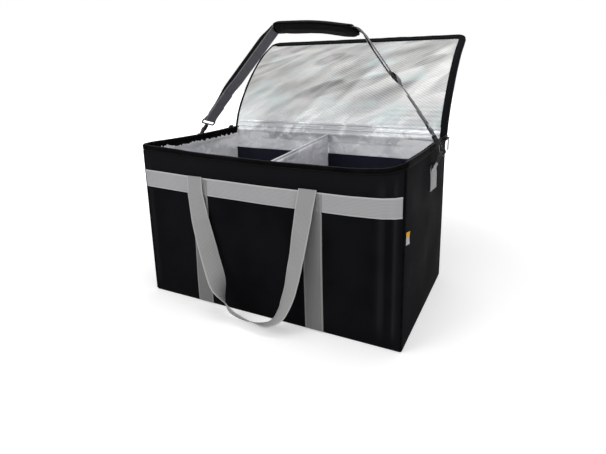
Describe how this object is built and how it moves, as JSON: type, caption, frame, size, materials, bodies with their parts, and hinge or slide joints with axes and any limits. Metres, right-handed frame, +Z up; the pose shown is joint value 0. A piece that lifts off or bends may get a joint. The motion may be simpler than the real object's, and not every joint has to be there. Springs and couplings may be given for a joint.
{
  "type": "insulated food delivery bag",
  "caption": "Boxy insulated carry bag with a padded zip lid, foil lining, lift-out divider, webbing carry handles and a snap-hooked padded shoulder strap",
  "frame": {"origin": "the middle of the bag's underside, on the surface it stands on", "axes": "+X runs right along the front, +Y runs to the back where the lid is hinged, +Z is up"},
  "size_m": [0.6504, 0.655, 0.6219],
  "materials": {
    "oxford": "matte",
    "binding": "matte",
    "foam": "matte",
    "foil": "satin",
    "webbing": "matte",
    "pad": "matte",
    "board": "satin",
    "label": "matte",
    "hardware": "satin"
  },
  "bodies": {
    "bag": {"panel_front": "oxford", "panel_back": "oxford", "panel_left": "oxford", "panel_right": "oxford", "panel_base": "oxford", "foam_front": "foam", "foam_back": "foam", "foam_left": "foam", "foam_right": "foam", "foam_base": "foam", "lining_front": "foil", "lining_back": "foil", "lining_left": "foil", "lining_right": "foil", "lining_base": "foil", "back_board": "board", "piping_front_left": "binding", "piping_front_right": "binding", "piping_back_left": "binding", "piping_back_right": "binding", "rim_tape": "binding", "band_front": "webbing", "band_back": "webbing", "upright_front_left": "webbing", "upright_front_right": "webbing", "upright_back_left": "webbing", "upright_back_right": "webbing", "side_label": "label", "tab_left": "webbing", "tab_right": "webbing"},
    "lid_lower": {"lid_shell_1": "oxford", "lid_foam_1": "foam", "lid_lining_1": "foil"},
    "lid_middle": {"lid_shell_2": "oxford", "lid_foam_2": "foam", "lid_lining_2": "foil"},
    "lid_upper": {"lid_shell_3": "oxford", "lid_foam_3": "foam", "lid_lining_3": "foil"},
    "front_handle": {"handle_front": "webbing"},
    "back_handle": {"handle_back": "webbing"},
    "divider": {"divider_cover": "foil", "divider_core": "foam"},
    "left_ring": {"dring_left": "hardware"},
    "right_ring": {"dring_right": "hardware"},
    "left_hook": {"hook_left": "hardware"},
    "right_hook": {"hook_right": "hardware"},
    "left_gate": {"gate_left": "hardware"},
    "right_gate": {"gate_right": "hardware"},
    "left_swivel": {"swivel_left": "hardware"},
    "right_swivel": {"swivel_right": "hardware"},
    "left_slider": {"slider_left": "hardware"},
    "right_slider": {"slider_right": "hardware"},
    "left_pull": {"pull_left": "hardware"},
    "right_pull": {"pull_right": "hardware"},
    "strap": {"strap_webbing": "webbing", "shoulder_pad": "pad"},
    "adjuster": {"strap_adjuster": "hardware"}
  },
  "joints": [
    {"name": "lid_hinge", "type": "hinge", "parent": "bag", "child": "lid_lower", "pos_m": [0, 0.175, 0.35], "axis": [-1, 0, 0], "range_deg": [-118, 10], "deforming": ["strap_webbing", "shoulder_pad", "strap_adjuster"]},
    {"name": "lid_bend_lower", "type": "hinge", "parent": "lid_lower", "child": "lid_middle", "pos_m": [0, 0.22998, 0.45339], "axis": [-1, 0, 0], "range_deg": [-17, 1.45]},
    {"name": "lid_bend_upper", "type": "hinge", "parent": "lid_middle", "child": "lid_upper", "pos_m": [0, 0.31278, 0.53619], "axis": [-1, 0, 0], "range_deg": [-15, 1.28]},
    {"name": "front_handle_swing", "type": "hinge", "parent": "bag", "child": "front_handle", "pos_m": [0, -0.1787, 0.292], "axis": [-1, 0, 0], "range_deg": [-3, 160]},
    {"name": "back_handle_swing", "type": "hinge", "parent": "bag", "child": "back_handle", "pos_m": [0, 0.1787, 0.292], "axis": [1, 0, 0], "range_deg": [-3, 125]},
    {"name": "divider_lift", "type": "slide", "parent": "bag", "child": "divider", "axis": [0, 0, 1], "range_m": [0, 0.3]},
    {"name": "left_zip_slide", "type": "slide", "parent": "bag", "child": "left_slider", "axis": [0, -1, 0], "range_m": [0, 0.083]},
    {"name": "right_zip_slide", "type": "slide", "parent": "bag", "child": "right_slider", "axis": [0, -1, 0], "range_m": [0, 0.083]},
    {"name": "left_pull_swing", "type": "hinge", "parent": "left_slider", "child": "left_pull", "pos_m": [-0.3087, 0.158, 0.35], "axis": [0, 1, 0], "range_deg": [0, 120]},
    {"name": "right_pull_swing", "type": "hinge", "parent": "right_slider", "child": "right_pull", "pos_m": [0.3087, 0.158, 0.35], "axis": [0, -1, 0], "range_deg": [0, 120]},
    {"name": "strap_swing", "type": "hinge", "parent": "bag", "child": "strap", "pos_m": [0, 0.03, 0.31809], "axis": [1, 0, 0], "range_deg": [-12, 44]},
    {"name": "adjuster_slide", "type": "slide", "parent": "strap", "child": "adjuster", "axis": [0.6214, -0.2146, -0.7535], "range_m": [-0.03, 0.03]},
    {"name": "left_ring_lean", "type": "hinge", "parent": "bag", "child": "left_ring", "pos_m": [-0.3042, 0.03, 0.31], "axis": [0, 1, 0], "range_deg": [-22, 1.87]},
    {"name": "right_ring_lean", "type": "hinge", "parent": "bag", "child": "right_ring", "pos_m": [0.3042, 0.03, 0.31], "axis": [0, -1, 0], "range_deg": [-22, 1.87]},
    {"name": "left_hook_swing", "type": "hinge", "parent": "left_ring", "child": "left_hook", "pos_m": [-0.3179, 0.03, 0.31809], "axis": [1, 0, 0], "range_deg": [-12, 44]},
    {"name": "right_hook_swing", "type": "hinge", "parent": "right_ring", "child": "right_hook", "pos_m": [0.3179, 0.03, 0.31809], "axis": [1, 0, 0], "range_deg": [-12, 44]},
    {"name": "left_gate_open", "type": "hinge", "parent": "left_hook", "child": "left_gate", "pos_m": [-0.30973, 0.04115, 0.35724], "axis": [0, -0.9617, 0.274], "range_deg": [0, 16], "stiffness_Nm_per_rad": 0.05, "springref_deg": -5.73},
    {"name": "right_gate_open", "type": "hinge", "parent": "right_hook", "child": "right_gate", "pos_m": [0.30973, 0.04115, 0.35724], "axis": [0, 0.9617, -0.274], "range_deg": [0, 16], "stiffness_Nm_per_rad": 0.05, "springref_deg": -5.73},
    {"name": "left_swivel_turn", "type": "hinge", "parent": "left_hook", "child": "left_swivel", "pos_m": [-0.30058, 0.0433, 0.36479], "axis": [0.5299, 0.2323, 0.8156], "range_deg": [-15, 15]},
    {"name": "right_swivel_turn", "type": "hinge", "parent": "right_hook", "child": "right_swivel", "pos_m": [0.30058, 0.0433, 0.36479], "axis": [-0.5299, 0.2323, 0.8156], "range_deg": [-15, 15]}
  ],
  "couplings": [
    {"joint": "lid_bend_lower", "follows": "lid_hinge", "ratio": 0.14407},
    {"joint": "lid_bend_upper", "follows": "lid_hinge", "ratio": 0.12712},
    {"joint": "left_ring_lean", "follows": "lid_hinge", "ratio": 0.18644},
    {"joint": "right_ring_lean", "follows": "lid_hinge", "ratio": 0.18644},
    {"joint": "left_hook_swing", "follows": "strap_swing", "ratio": 1},
    {"joint": "right_hook_swing", "follows": "strap_swing", "ratio": 1}
  ]
}
